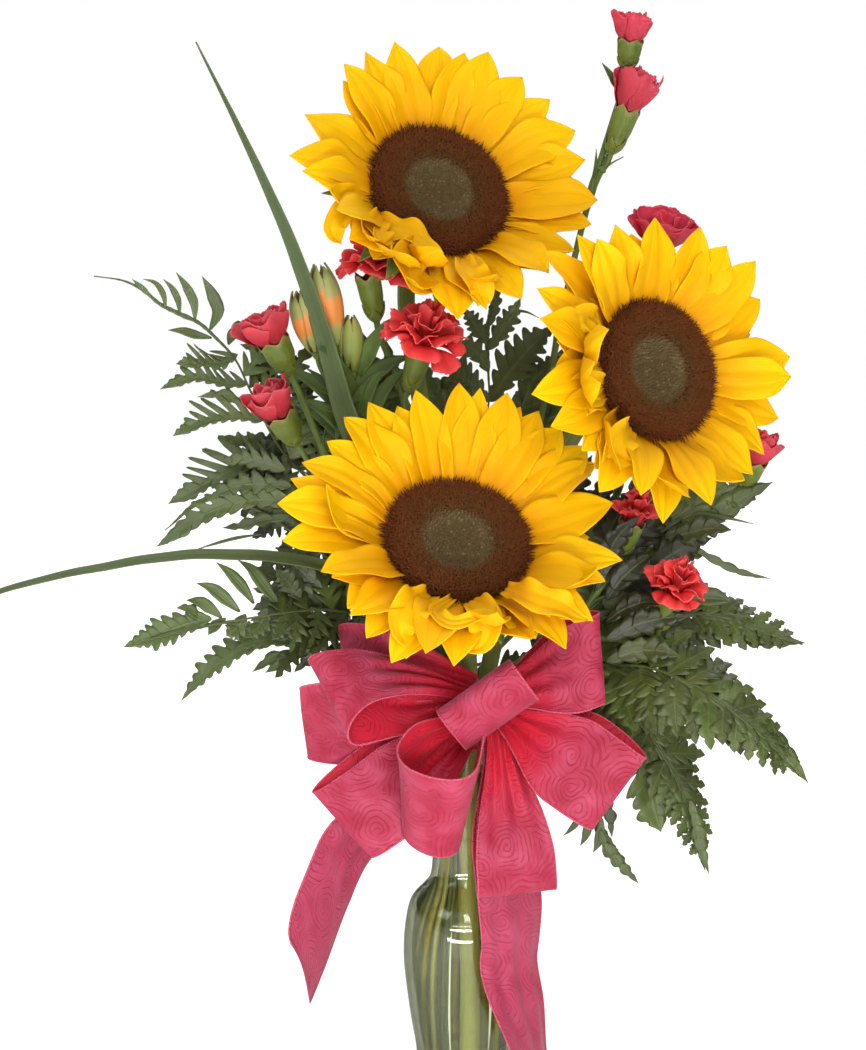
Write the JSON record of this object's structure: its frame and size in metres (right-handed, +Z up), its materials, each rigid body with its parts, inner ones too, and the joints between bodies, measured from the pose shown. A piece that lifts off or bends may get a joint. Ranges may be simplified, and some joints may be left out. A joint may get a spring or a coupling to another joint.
{
  "type": "sunflowers_in_a_vase",
  "caption": "Cut sunflowers with spray carnations, alstroemeria buds, fern and lily grass in a clear glass bud vase with a ribbon bow at its neck",
  "frame": {"origin": "middle of the vase's flat base, on the surface it stands on", "axes": "+Z up along the vase's axis, -Y towards the viewer of the picture, +X to the viewer's right"},
  "size_m": [0.3933, 0.2669, 0.5159],
  "materials": {
    "glass": "clear polished glass",
    "water": "clear water",
    "sunflower_stem": "hairy green stem",
    "sunflower_sepal": "matte green bracts",
    "sunflower_disc": "dark brown florets",
    "sunflower_petal": "satin yellow petals",
    "carnation_green": "waxy green",
    "carnation_petal": "soft coral red petals",
    "lily_bud": "satin orange and green buds",
    "fern": "leathery dark green",
    "grass": "satin grey green",
    "ribbon": "embossed satin ribbon"
  },
  "bodies": {
    "root": {"vase": "glass", "water": "water", "sunflower_front_stem": "sunflower_stem", "sunflower_front_calyx": "sunflower_sepal", "sunflower_front_disc": "sunflower_disc", "sunflower_front_petals": "sunflower_petal", "sunflower_upper_stem": "sunflower_stem", "sunflower_upper_calyx": "sunflower_sepal", "sunflower_upper_disc": "sunflower_disc", "sunflower_upper_petals": "sunflower_petal", "sunflower_right_stem": "sunflower_stem", "sunflower_right_calyx": "sunflower_sepal", "sunflower_right_disc": "sunflower_disc", "sunflower_right_petals": "sunflower_petal", "spray_a_stem": "carnation_green", "carnation_1": "carnation_petal", "carnation_2": "carnation_petal", "spray_b_stem": "carnation_green", "carnation_3": "carnation_petal", "carnation_4": "carnation_petal", "spray_c_stem": "carnation_green", "carnation_5": "carnation_petal", "carnation_6": "carnation_petal", "spray_d_stem": "carnation_green", "carnation_7": "carnation_petal", "carnation_8": "carnation_petal", "spray_e_stem": "carnation_green", "carnation_9": "carnation_petal", "carnation_10": "carnation_petal", "lily_stem": "carnation_green", "lily_bud_1": "lily_bud", "lily_bud_2": "lily_bud", "lily_bud_3": "lily_bud", "fern_1": "fern", "fern_2": "fern", "fern_3": "fern", "fern_4": "fern", "fern_5": "fern", "fern_6": "fern", "fern_7": "fern", "fern_8": "fern", "fern_9": "fern", "fern_10": "fern", "fern_11": "fern", "fern_12": "fern", "grass_tall": "grass", "grass_arched": "grass", "bow_tie": "ribbon", "bow_loop_1": "ribbon", "bow_loop_2": "ribbon", "bow_loop_3": "ribbon", "bow_loop_4": "ribbon", "bow_loop_5": "ribbon", "bow_loop_6": "ribbon", "bow_loop_7": "ribbon", "bow_loop_8": "ribbon", "bow_loop_9": "ribbon", "bow_tail_left": "ribbon", "bow_tail_right": "ribbon"}
  },
  "joints": []
}
